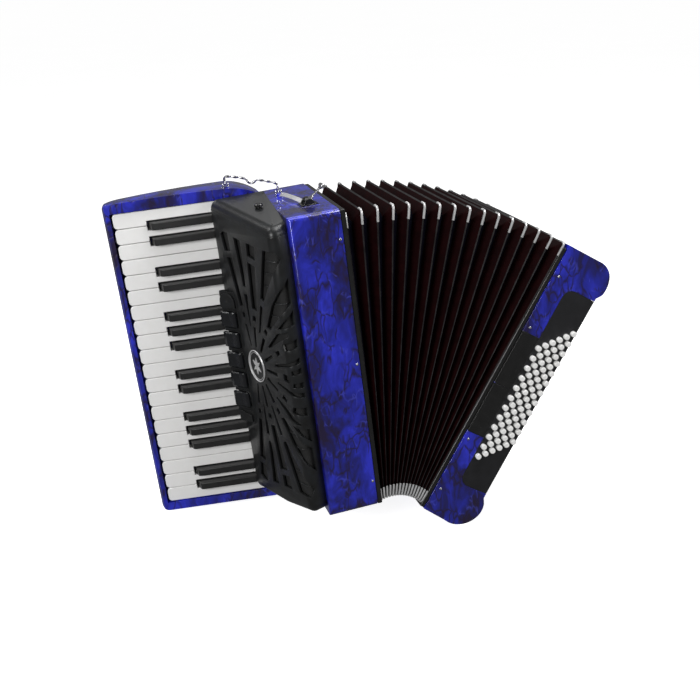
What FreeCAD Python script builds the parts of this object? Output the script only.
import FreeCAD, Part
import math
import os
import re

# Piano accordion standing half open: the treble side leans left, the bass side leans right and
# the bellows fan out between them. Each side is modelled upright in its own frame (X across,
# Y from front to back, Z up, origin at the lower front corner nearest the left) and then leaned.
DIMENSIONS = {
    # stance
    "treble_lean": 6.2, "fan_angle": 36.04, "pivot_drop": 6.6,
    # treble casing
    "casing_height": 376, "casing_width": 61.5, "casing_depth": 172, "casing_wall": 5,
    "edge_radius": 6, "frame_thickness": 6.2, "frame_band": 14, "frame_inset": 1,
    # keyboard
    "key_pitch": 19.5, "key_gap": 0.8, "keyboard_low": -7, "keyboard_angle": 12,
    "joint_across": -63.4, "joint_back": 133.1, "white_length": 119.7, "key_thickness": 12,
    "key_root": 16, "black_length": 78, "black_width": 10.4, "black_rise": 9.5,
    "notch_width": 12.2, "notch_length": 80, "axle_inward": 12, "axle_depth": 6,
    "axle_radius": 2, "axle_clearance": 0.05, "pocket_depth": 18, "cheek_margin": 0.7,
    # pallets that the keys lift
    "pallet_length": 30, "pallet_width": 15, "pallet_thickness": 8, "pallet_gap": 0.4,
    "lever_thickness": 3, "white_pallet_back": 109, "black_pallet_back": 62,
    # keyboard bed
    "bed_left": -190, "bed_back": 178, "cheek_low": -18.5, "cheek_high": 394,
    # grille
    "grille_wall": 3, "ridge_across": -22, "ridge_back": 1, "grille_front": 12,
    "grille_low_top": 368, "grille_high_top": 388, "lip_rise": 11.5,
    # registers
    "register_low": 133.4, "register_pitch": 26.6, "register_length": 19.5, "register_room": 0.6,
    "bank_low": 101, "bank_high": 275, "bank_rise": 12, "bank_across": -12, "bank_top": 32,
    "well_length": 29, "well_depth": 4,
    # bellows
    "bellows_pack": 49, "fold_gaps": 15, "fold_depth": 17, "bellows_inset": 2,
    # bass casing
    "bass_height": 368, "bass_width": 69, "bass_wall": 3, "bass_drop": 2.2, "bass_crown": 4,
    "hump_reach": 6.5, "hump_height": 42,
    # bass buttons
    "button_radius": 3.6, "button_clearance": 0.35, "button_rise": 4.6, "button_pitch": 14.05,
    "row_pitch": 6.75, "row_step": 7, "button_across": 30.7, "button_low": 89.4,
    "board_thickness": 4, "seat_depth": 8.6, "board_low": 48, "board_high": 326, "board_inner": 25.5,
    "plate_low": 113.6, "plate_high": 255.6, "plate_inner": 2.2,
    # bass strap
    "strap_width": 62, "strap_thickness": 3.2, "strap_bulge": 24, "strap_low": 30,
    "strap_high": 338, "strap_middle": 112,
    # fittings
    "bail_radius": 1.6, "clasp_length": 24, "seat_thickness": 1, "clasp_width": 14, "clasp_thickness": 2.2,
    "wheel_radius": 8, "wheel_width": 6, "air_radius": 6, "air_rise": 6,
}
WHITE_KEYS = 20
# a black key stands above each of these white keys, counted from the bottom (E upwards)
BLACK_AFTER = (0, 1, 3, 4, 5, 7, 8, 10, 11, 12, 14, 15, 17, 18)
REGISTERS = 5
BUTTON_ROWS = 6
BUTTONS_IN_ROW = 12
ROWS_IN_NODE = 2

V = FreeCAD.Vector
doc = FreeCAD.newDocument("accordion")
sheet = doc.addObject("Spreadsheet::Sheet", "Dims")
for row, (alias, number) in enumerate(DIMENSIONS.items(), start=1):
    sheet.set(f"A{row}", alias)
    sheet.set(f"B{row}", str(number))
    sheet.setAlias(f"B{row}", alias)
doc.recompute()


def dim(alias):
    return float(sheet.get(alias))


def bind(item, **formulas):
    """Bind properties to formulas whose words are names in the sheet."""
    for prop, formula in formulas.items():
        item.setExpression(prop, re.sub(r"[a-z]+(?:_[a-z]+)+", r"Dims.\g<0>", str(formula)))


def place(x=0, y=0, z=0, axis=V(0, 0, 1), angle=0):
    return FreeCAD.Placement(V(x, y, z), FreeCAD.Rotation(axis, angle))


def box(name, length, width, height, at, frame=place()):
    item = doc.addObject("Part::Box", name)
    bind(item, Length=length, Width=width, Height=height)
    item.Placement = frame.multiply(place(*at))
    return item


def rod(name, radius, height, at, axis=V(0, 0, 1), angle=0, frame=place()):
    item = doc.addObject("Part::Cylinder", name)
    bind(item, Radius=radius, Height=height)
    item.Placement = frame.multiply(place(*at, axis, angle))
    return item


def cut(name, base, tool):
    item = doc.addObject("Part::Cut", name)
    item.Base = base
    item.Tool = tool
    return item


def fuse(name, items):
    item = doc.addObject("Part::MultiFuse", name)
    item.Shapes = items
    item.Refine = True
    return item


def cut_all(name, base, tools):
    return cut(name, base, fuse(name + "_tools", tools) if len(tools) > 1 else tools[0])


def common(name, one, other):
    item = doc.addObject("Part::MultiCommon", name)
    item.Shapes = [one, other]
    return item


def origin_plane(body, role):
    return next(plane for plane in body.Origin.OriginFeatures if plane.Role == role)


def slab(name, outline, thickness, frame=place()):
    """A closed outline padded along +Z. A point written as a pair of pairs is an arc's middle and end."""
    body = doc.addObject("PartDesign::Body", name)
    sketch = body.newObject("Sketcher::SketchObject", name + "_sketch")
    sketch.AttachmentSupport = [(origin_plane(body, "XY_Plane"), "")]
    sketch.MapMode = "FlatFace"
    here = V(*outline[0])
    for step in [*outline[1:], outline[0]]:
        if isinstance(step[0], tuple):
            middle, end = V(*step[0]), V(*step[1])
            sketch.addGeometry(Part.Arc(here, middle, end))
        else:
            end = V(*step)
            sketch.addGeometry(Part.LineSegment(here, end))
        here = end
    pad = body.newObject("PartDesign::Pad", name + "_pad")
    pad.Profile = sketch
    bind(pad, Length=thickness)
    body.Placement = frame
    return body


def rounded(name, base, radius, wanted):
    """Fillet the edges of base whose middle and direction the test called wanted accepts."""
    doc.recompute()
    item = doc.addObject("Part::Fillet", name)
    item.Base = base
    chosen = []
    for number, edge in enumerate(base.Shape.Edges, start=1):
        ends = [vertex.Point for vertex in edge.Vertexes]
        if len(ends) == 2 and wanted((ends[0] + ends[1]) * 0.5, ends[1] - ends[0]):
            chosen.append((number, radius, radius))
    item.Edges = chosen
    return item


PARTS = {}


def part(label, items, frame):
    """One sub-part: its separate solids grouped under one label, put where the frame says."""
    item = doc.addObject("Part::Compound", label)
    item.Links = items
    item.Label = label
    item.Placement = frame
    PARTS[label] = item
    return item


# ---------------------------------------------------------------- frames
HEIGHT, WIDTH, DEPTH = dim("casing_height"), dim("casing_width"), dim("casing_depth")
BELLOWS_START = WIDTH + dim("frame_thickness")
PIVOT = V(BELLOWS_START + dim("bellows_pack") / 2, 0, -dim("pivot_drop"))
FAN = dim("fan_angle")
TREBLE = place(axis=V(0, 1, 0), angle=-dim("treble_lean"))


def fanned(share):
    """The treble frame turned about the bellows' hinge line by a share of the fan angle."""
    turn = FreeCAD.Rotation(V(0, 1, 0), FAN * share)
    return FreeCAD.Placement(V(0, 0, 0), turn, PIVOT)


bass_closed = place(BELLOWS_START + dim("bellows_pack") + dim("frame_thickness"), 0, -dim("bass_drop"))
BASS = TREBLE.multiply(fanned(1)).multiply(bass_closed)
# the keyboard frame: X from the grille to the keys' free ends, Y out of the keys' faces
KEYS = place(dim("joint_across"), dim("joint_back"), 0, angle=180 - dim("keyboard_angle"))
# the face of the register bank: X down it towards the keys, Y out of it
bank_slope = math.degrees(math.atan2(dim("bank_top") - dim("bank_rise") - 3, 7 - dim("bank_across")))
BANK = KEYS.multiply(place(dim("bank_across"), dim("bank_top"), 0, angle=-bank_slope))
# the feet of the strap bracket, on the keyboard's end cheek and on the casing's top
BAIL_LEFT = V(-42, 136, HEIGHT + 22.5)
BAIL_RIGHT = V(19, 126, HEIGHT + 5)
# the hinge of the bellows clasps on the casing's end faces, and how far above or below them it lies
CLASP = V(37, 50, 0)
CLASP_RISE, TOP_CLASP_LIFT = 4.5, 38
# an outline drawn in X and Z, padded from the back of a casing to its front
FACE = place(0, DEPTH, 0, V(1, 0, 0), 90)


# ---------------------------------------------------------------- treble side
def treble_casing():
    outer = box("casing_outer", "casing_width", "casing_depth", "casing_height", (0, 0, 0))
    wall = dim("casing_wall")
    inner = box("casing_inner", "casing_width", "casing_depth - 2 * casing_wall",
                "casing_height - 2 * casing_wall", (wall, wall, wall))
    smooth = rounded("casing_smooth", outer, dim("edge_radius"),
                     lambda middle, way: middle.y < 1 and middle.x < WIDTH - 1)
    shell = cut("casing_shell", smooth, inner)
    seat_at = (CLASP.x - 11, CLASP.y - dim("clasp_width") / 2 - 3)
    seats = [box(f"clasp_seat_{n}", 22, "clasp_width + 6", "seat_thickness", (*seat_at, z))
             for n, z in enumerate((-dim("seat_thickness"), HEIGHT))]
    lug = box("bail_lug_right", 7, 9, BAIL_RIGHT.z - HEIGHT - 1.75, (BAIL_RIGHT.x - 3.5, BAIL_RIGHT.y - 4.5, HEIGHT))
    part("treble_casing", [fuse("casing_fitted", [shell, *seats, lug])], TREBLE)


def keyboard_bed():
    low, high = dim("cheek_low"), dim("cheek_high")
    left, back = dim("bed_left"), dim("bed_back")
    slope = math.tan(math.radians(dim("keyboard_angle")))
    front = dim("joint_back") - 3
    tip = front + slope * (dim("joint_across") - left)
    behind = KEYS.multVec(V(0, dim("lip_rise"), 0)).y + 0.5
    meet = dim("joint_across") + (front - behind) / slope
    plan = [(0, behind), (0, DEPTH), (-28, back), (left + 26, back + 3),
            ((left + 7, back - 3), (left, tip + 6)), (left + 2, tip), (meet, behind)]
    bed_height = high + 8 - low
    plan_slab = slab("bed_plan", plan, bed_height, place(0, 0, low))
    side = [(0, 0), (0, HEIGHT + 4), ((-20, high - 2.6), (-44, high + 2)),
            ((-120, high + 3), (left + 6, high + 1)), ((left + 1.5, high - 1), (left, high - 6)), (left, low + 10),
            ((left + 2.5, low + 2.5), (left + 10, low)), ((-120, low - 2), (-44, low)), (-22, low + 10)]
    side_slab = slab("bed_side", side, 200, place(0, 200, 0, V(1, 0, 0), 90))
    solid = common("bed_solid", plan_slab, side_slab)
    margin = dim("cheek_margin")
    keys_height = f"{WHITE_KEYS} * key_pitch + 2 * cheek_margin"
    pocket = box("bed_pocket", "white_length + 82", "pocket_depth + 40", keys_height,
                 (-80, -dim("pocket_depth"), dim("keyboard_low") - margin), KEYS)
    lug = box("bail_lug_left", 7, 9, 6, (BAIL_LEFT.x - 3.5, BAIL_LEFT.y - 4.5, BAIL_LEFT.z - 1.75 - 6))
    part("keyboard_bed", [fuse("bed_fitted", [cut("bed_cut", solid, pocket), lug])], TREBLE)
    pin = rod("axle", "axle_radius", keys_height,
              (-dim("axle_inward"), -dim("axle_depth"), dim("keyboard_low") - margin), frame=KEYS)
    part("key_axle_rod", [pin], TREBLE)


def roof(back):
    """How high the grille's sloping top is, this far back."""
    low, high = dim("grille_low_top"), dim("grille_high_top")
    return low + (high - low) * back / dim("joint_back")


def lever_and_pallet(name, middle, back):
    """The metal arm from a key's root and the pallet that it lifts off the casing's side wall."""
    root = [KEYS.multVec(V(-dim("key_root"), -depth, 0)) for depth in (2.5, 9)]
    face = -dim("pallet_thickness") - dim("pallet_gap")
    lowest, highest = dim("grille_wall") + 0.4, roof(back - dim("pallet_length") / 2) - dim("grille_wall") - 0.4
    half, reach = dim("lever_thickness") / 2, dim("pallet_width") / 2
    middle = min(max(middle, lowest + half), highest - half)
    low, high = max(middle - reach, lowest), min(middle + reach, highest)
    outline = [(root[0].x, root[0].y), (root[1].x, root[1].y), (face, back + 4), (face, back - 3)]
    arm = slab(name + "_arm", outline, "lever_thickness", place(0, 0, middle - half))
    pallet = box(name + "_pallet", "pallet_thickness", "pallet_length", high - low,
                 (face, back - dim("pallet_length") / 2, low))
    return [arm, pallet]


def bored(name, solid, low, width):
    hole = rod(name + "_bore", "axle_radius + axle_clearance", width + 4,
               (-dim("axle_inward"), -dim("axle_depth"), low - 2), frame=KEYS)
    return cut(name + "_bored", solid, hole)


def white_key(index):
    name = f"white_key_{index + 1:02d}"
    gap = dim("key_gap")
    low = dim("keyboard_low") + index * dim("key_pitch")
    width = dim("key_pitch") - gap
    blank = box(name + "_blank", "white_length + key_root", "key_thickness", "key_pitch - key_gap",
                (-dim("key_root"), -dim("key_thickness"), low + gap / 2), KEYS)
    notches = []
    for side, neighbour in ((0, index - 1), (1, index)):
        if neighbour in BLACK_AFTER:
            at = (-dim("key_root") - 1, -dim("key_thickness") - 1,
                  low + side * dim("key_pitch") - dim("notch_width") / 2)
            notches.append(box(f"{name}_notch_{side}", "notch_length + key_root + 1",
                               "key_thickness + 2", "notch_width", at, KEYS))
    key = cut_all(name + "_cut", blank, notches) if notches else blank
    key = bored(name, key, low, width)
    middle = low + dim("key_pitch") / 2
    part(name, [key, *lever_and_pallet(name, middle, dim("white_pallet_back"))], TREBLE)


def black_key(number, index):
    name = f"black_key_{number + 1:02d}"
    middle = dim("keyboard_low") + (index + 1) * dim("key_pitch")
    half = dim("black_width") / 2
    rise, length, thick = dim("black_rise"), dim("black_length"), dim("key_thickness")
    profile = [(-dim("key_root"), -thick), (length, -thick), (length, -1), (length - 5, rise - 1.5),
               (length - 8, rise), (0, rise), (-2, 0), (-dim("key_root"), 0)]
    key = slab(name + "_blank", profile, "black_width", KEYS.multiply(place(0, 0, middle - half)))
    key = bored(name, key, middle - half, dim("black_width"))
    part(name, [key, *lever_and_pallet(name, middle, dim("black_pallet_back"))], TREBLE)


def grille_outline(inset):
    """The plan of the grille: from the keys, round the front ridge, to the casing's side wall."""
    lip = KEYS.multVec(V(0, dim("lip_rise"), 0))
    ridge = V(dim("ridge_across"), dim("ridge_back"), 0)
    run = (ridge - lip).normalize()
    inward = V(-run.y, run.x, 0)
    start = lip + inward * inset
    before = ridge - run * 11 + inward * inset
    corner = ridge + V(3.2, 2.6, 0) + V(0.25, 0.97, 0) * inset
    after = ridge + V(12, 5.5, 0) + V(-0.4, 0.92, 0) * inset
    end = V(0, dim("grille_front") + inset, 0)
    return [(start.x, start.y), (before.x, before.y),
            ((corner.x, corner.y), (after.x, after.y)), (end.x, end.y), (0, lip.y)]


def treble_grille():
    wall = dim("grille_wall")
    bodies = []
    for name, inset in (("outer", 0), ("inner", wall)):
        full = slab("grille_" + name, grille_outline(inset), "grille_high_top", place(0, 0, inset))
        side = [(-1, 0), (-1, roof(-1) - inset), (132, roof(132) - inset), (132, 0)]
        across = FreeCAD.Placement(V(-80, 0, 0), FreeCAD.Rotation(V(1, 1, 1), 120))
        bodies.append(common("grille_body_" + name, full, slab("grille_trim_" + name, side, 80, across)))
    hood = cut("grille_hood", *bodies)
    lip = KEYS.multVec(V(0, dim("lip_rise"), 0))
    ridge = V(dim("ridge_across"), dim("ridge_back"), 0)
    turn = math.degrees(math.atan2(ridge.y - lip.y, ridge.x - lip.x))
    centre = lip + (ridge - lip) * 0.5
    tools = [box("bank_notch", 30, 30, "bank_high - bank_low + 2", (-19, 6, dim("bank_low") - 1), KEYS)]
    for ring, (inner_end, outer_end, count) in enumerate(((48, 92, 12), (100, 158, 12))):
        for step in range(count):
            angle = math.radians(360 / count * (step + 0.5))
            along = math.cos(angle) * 0.42
            up = math.sin(angle)
            for share in (0, 0.5, 1):
                reach = inner_end + (outer_end - inner_end) * share
                if abs(along * reach) < 44 and (along * reach > -18 or abs(up * reach) > 96):
                    at = (along * reach - 2.5, -8, HEIGHT / 2 + 6 + up * reach - 9)
                    frame = place(centre.x, centre.y, 0, angle=turn)
                    tools.append(box(f"slot_{ring}_{step}_{int(share * 2)}", 5, 16, 18, at, frame))
    part("treble_grille", [cut_all("grille_cut", hood, tools)], TREBLE)


def register_low(index):
    return dim("register_low") + index * dim("register_pitch") - dim("register_length") / 2


def register_bank():
    """A wedge that leans against the grille, with one rocking tab in each of its wells."""
    across, top, rise = dim("bank_across"), dim("bank_top"), dim("bank_rise")
    profile = [(7, rise), (7, rise + 3), (across, top), (across - 4, top), (across - 4, top - 8), (-4, rise)]
    block = slab("bank_block", profile, "bank_high - bank_low", KEYS.multiply(place(0, 0, dim("bank_low"))))
    room = dim("register_room")
    wells = [box(f"bank_well_{index}", "well_length", "3 * well_depth", "register_length + 2 * register_room",
                 (1, -dim("well_depth"), register_low(index) - room), BANK)
             for index in range(REGISTERS)]
    part("register_housing", [cut_all("bank_cut", block, wells)], TREBLE)
    for index in range(REGISTERS):
        name = f"register_switch_{index + 1}"
        profile = [(1.6, -0.4), (27.2, -0.4), (27, 2.4), (22, 4.2), (2.4, 3.4)]
        tab = slab(name + "_tab", profile, "register_length", BANK.multiply(place(0, 0, register_low(index))))
        part(name, [tab], TREBLE)


def reed_blocks():
    count, thick, long = 3, 26, "casing_height - 46"
    rows = [box(f"treble_block_{n}", 44, thick, long, (dim("casing_wall"), 20 + n * 46, 22)) for n in range(count)]
    part("treble_reed_blocks", rows, TREBLE)
    rows = [box(f"bass_block_{n}", 34, thick, "bass_height - 120", (6, 40 + n * 50, 60)) for n in range(2)]
    part("bass_reed_blocks", rows, BASS)


def bellows_frame(label, height, across, frame):
    inset, band = "frame_inset", "frame_band"
    ring = box(label + "_outer", "frame_thickness", f"casing_depth - 2 * {inset}", f"{height} - 2 * {inset}",
               (across, dim(inset), dim(inset)))
    hole = box(label + "_hole", "frame_thickness + 2", f"casing_depth - 2 * {inset} - 2 * {band}",
               f"{height} - 2 * {inset} - 2 * {band}", (across - 1, dim(inset) + dim(band), dim(inset) + dim(band)))
    part(label, [cut(label + "_ring", ring, hole)], frame)


def bellows():
    gaps = int(dim("fold_gaps"))
    pack = dim("bellows_pack")

    def point(share, height):
        spot = fanned(share).multVec(V(BELLOWS_START + share * pack, 0, height))
        return (spot.x, spot.z)

    def edge(ridge, valley, turns):
        """Ridges at whole folds and valleys between them, from the treble frame to the bass frame."""
        return [point(turn / 2 / gaps, valley if turn % 2 else ridge) for turn in turns]

    inset = dim("bellows_inset")
    top, low = dim("bass_height") + 4 - inset, inset
    outline = edge(top, top - dim("fold_depth"), range(2 * gaps + 1))
    outline += edge(low, low + 6, range(2 * gaps, -1, -1))
    hollow = [point(share, height) for share, height in
              ((-0.02, 30), (-0.02, 330), (0.25, 336), (0.5, 338), (0.75, 336), (1.02, 326), (1.02, 30))]
    frame = place(0, DEPTH - inset, 0, V(1, 0, 0), 90)
    full = slab("bellows_full", outline, "casing_depth - 2 * bellows_inset", frame)
    void = slab("bellows_void", hollow, "casing_depth - 40", place(0, DEPTH - 20, 0, V(1, 0, 0), 90))
    part("bellows", [cut("bellows_hollow", full, void)], TREBLE)


# ---------------------------------------------------------------- bass side
def bass_outline():
    wide, high = dim("bass_width"), dim("bass_height")
    reach, hump = dim("hump_reach"), dim("hump_height")
    out = wide + reach
    crown = high + dim("bass_crown")
    return [(0, 0), (34, -4), ((57, -2), (out - 3, 13)), ((out, 24), (out - 2, 35)), (wide, hump),
            (wide, crown - hump), (out - 1, crown - 35), ((out - 0.2, crown - 24), (out - 5, crown - 10)),
            ((out - 14, crown - 2.5), (out - 27, crown)), (0, crown)]


def board_outline(inset):
    wide = dim("bass_width")
    low, high = dim("board_low") + inset, dim("board_high") - inset
    inner, edge = dim("board_inner") + inset, dim("plate_inner") + inset
    shelf_low, shelf_high = dim("plate_low") + inset, dim("plate_high") - inset
    return [(wide - inset, low), (wide - inset, high), (inner + 14, high), ((inner + 4, high - 4), (inner, high - 14)),
            (inner, shelf_high), (edge, shelf_high), (edge, shelf_low), (inner, shelf_low),
            (inner, low + 14), ((inner + 4, low + 4), (inner + 14, low))]


def button_places():
    for row in range(BUTTON_ROWS):
        for column in range(BUTTONS_IN_ROW):
            across = dim("button_across") + row * dim("row_pitch")
            up = dim("button_low") + column * dim("button_pitch") + row * dim("row_step")
            yield row, column, across, up


def bass_casing():
    outer = slab("bass_outer", bass_outline(), "casing_depth", FACE)
    wall = dim("casing_wall")
    inner = box("bass_inner", "bass_width - bass_wall + 1", "casing_depth - 2 * casing_wall",
                "bass_height - 2 * casing_wall", (-1, wall, wall))
    opening = slab("board_seat", board_outline(0), "seat_depth + 5", place(0, dim("seat_depth"), 0, V(1, 0, 0), 90))
    outlet = rod("air_bore", "air_radius + 0.4", 12, (dim("bass_width") - 8, 148, 296), V(0, 1, 0), 90)
    slot = box("wheel_slot", 16, "wheel_width + 1", "2 * wheel_radius + 2",
               (dim("bass_width") - 7, dim("strap_middle") - dim("wheel_width") / 2 - 0.5, 346 - dim("wheel_radius") - 1))
    part("bass_casing", [cut_all("bass_shell", outer, [inner, opening, outlet, slot])], BASS)


def button_board():
    plate = slab("board_plate", board_outline(0.3), "board_thickness",
                 place(0, dim("board_thickness"), 0, V(1, 0, 0), 90))
    holes = [rod(f"hole_{row}_{column}", "button_radius + button_clearance", 12, (across, 8, up), V(1, 0, 0), 90)
             for row, column, across, up in button_places()]
    part("bass_button_board", [cut_all("board_cut", plate, holes)], BASS)


def bass_buttons():
    names = ("inner", "middle", "outer")
    groups = {name: [] for name in names}
    for row, column, across, up in button_places():
        tag = f"button_{row}_{column}"
        cap = rod(tag + "_cap", "button_radius", "button_rise + board_thickness + 1",
                  (across, dim("board_thickness") + 1, up), V(1, 0, 0), 90)
        stem = rod(tag + "_stem", 1.2, 14, (across, dim("board_thickness") + 14, up), V(1, 0, 0), 90)
        groups[names[row // ROWS_IN_NODE]].append(fuse(tag, [cap, stem]))
    for name, buttons in groups.items():
        part(f"bass_buttons_{name}_rows", buttons, BASS)


def bass_strap():
    low, high, thick = dim("strap_low"), dim("strap_high"), dim("strap_thickness")
    seat = dim("bass_width") + dim("hump_reach") + 0.4
    middle = (low + high) / 2
    bulge = dim("bass_width") + dim("strap_bulge")
    outline = [(seat, low - 12), (seat, low + 4), ((bulge, middle), (seat, high - 4)), (seat, high + 8),
               (seat + thick, high + 8), (seat + thick, high), ((bulge + thick, middle), (seat + thick, low)),
               (seat + thick, low - 12)]
    strap = slab("strap_band", outline, "strap_width",
                 place(0, dim("strap_middle") + dim("strap_width") / 2, 0, V(1, 0, 0), 90))
    part("bass_strap", [strap], BASS)
    wheel = rod("wheel_disc", "wheel_radius", "wheel_width",
                (dim("bass_width") - 2, dim("strap_middle") + dim("wheel_width") / 2, 346), V(1, 0, 0), 90)
    part("strap_wheel", [wheel], BASS)
    button = rod("air_cap", "air_radius", "air_rise + 7", (dim("bass_width") - 7, 148, 296), V(0, 1, 0), 90)
    part("air_button", [button], BASS)


# ---------------------------------------------------------------- fittings on the treble side
def pipe(name, points, radius):
    """A round wire along straight runs, with a ball at each end and bend."""
    pieces = []
    for number, spot in enumerate(points):
        ball = doc.addObject("Part::Sphere", f"{name}_bend_{number}")
        bind(ball, Radius=radius)
        ball.Placement.Base = spot
        pieces.append(ball)
    for number, (start, end) in enumerate(zip(points, points[1:])):
        run = end - start
        item = doc.addObject("Part::Cylinder", f"{name}_run_{number}")
        bind(item, Radius=radius)
        item.Height = run.Length
        item.Placement = FreeCAD.Placement(start, FreeCAD.Rotation(V(0, 0, 1), run))
        pieces.append(item)
    return fuse(name, pieces)


def strap_bracket():
    left, right = BAIL_LEFT, BAIL_RIGHT
    along = (right - left).normalize()
    up = V(0, 0, 1)
    length = (right - left).Length
    path = [left, left + up * 11, left + along * (length * 0.38) + up * 12, left + along * (length * 0.5) + up * 5,
            left + along * (length * 0.62) + up * 12, right + up * 11, right]
    part("strap_bracket", [pipe("bail", path, "bail_radius")], TREBLE)


def clasp(label, up, height, lift):
    """A hinged bellows clasp on the casing's end face: up is 1 on top and -1 below."""
    hinge = CLASP + V(0, 0, height + up * CLASP_RISE)
    frame = FreeCAD.Placement(hinge, FreeCAD.Rotation(V(0, 1, 0), -up * lift))
    half = dim("clasp_width") / 2
    knuckle = rod(label + "_knuckle", 3.2, "clasp_width", (0, half, 0), V(1, 0, 0), 90, frame)
    blade = box(label + "_blade", "clasp_length", "clasp_width", "clasp_thickness",
                (1.5, -half, -dim("clasp_thickness") / 2), frame)
    tip = rod(label + "_tip", 2.6, "clasp_width", (dim("clasp_length"), half, 0), V(1, 0, 0), 90, frame)
    part(label, [fuse(label + "_lever", [knuckle, blade, tip])], TREBLE)


treble_casing()
keyboard_bed()
for index in range(WHITE_KEYS):
    white_key(index)
for number, index in enumerate(BLACK_AFTER):
    black_key(number, index)
treble_grille()
register_bank()
reed_blocks()
bellows_frame("bellows_frame_treble", "casing_height", WIDTH, TREBLE)
bellows()
bellows_frame("bellows_frame_bass", "bass_height", -dim("frame_thickness"), BASS)
bass_casing()
button_board()
bass_buttons()
bass_strap()
strap_bracket()
clasp("bellows_clasp_top", 1, HEIGHT, TOP_CLASP_LIFT)
clasp("bellows_clasp_bottom", -1, 0, 0)
doc.recompute()

# ---------------------------------------------------------------- stand it on its base and write it
whole = FreeCAD.BoundBox()
for item in PARTS.values():
    whole.add(item.Shape.optimalBoundingBox(False))
stand = V(-whole.Center.x, -whole.Center.y, -whole.ZMin)
for item in PARTS.values():
    item.Placement.Base = item.Placement.Base + stand
doc.recompute()

for item in doc.Objects:
    if {"Invalid", "Error"} & set(item.State):
        raise RuntimeError(f"{item.Name} failed: {item.State}")
os.makedirs("parts", exist_ok=True)
for label, item in PARTS.items():
    if item.Shape.isNull() or not item.Shape.isValid():
        raise RuntimeError(f"{label} has no valid shape")
    item.Shape.exportStep(f"parts/{label}.step")
print("STAND", round(stand.x, 4), round(stand.y, 4), round(stand.z, 4))
print("SIZE", round(whole.XLength, 2), round(whole.YLength, 2), round(whole.ZLength, 2))
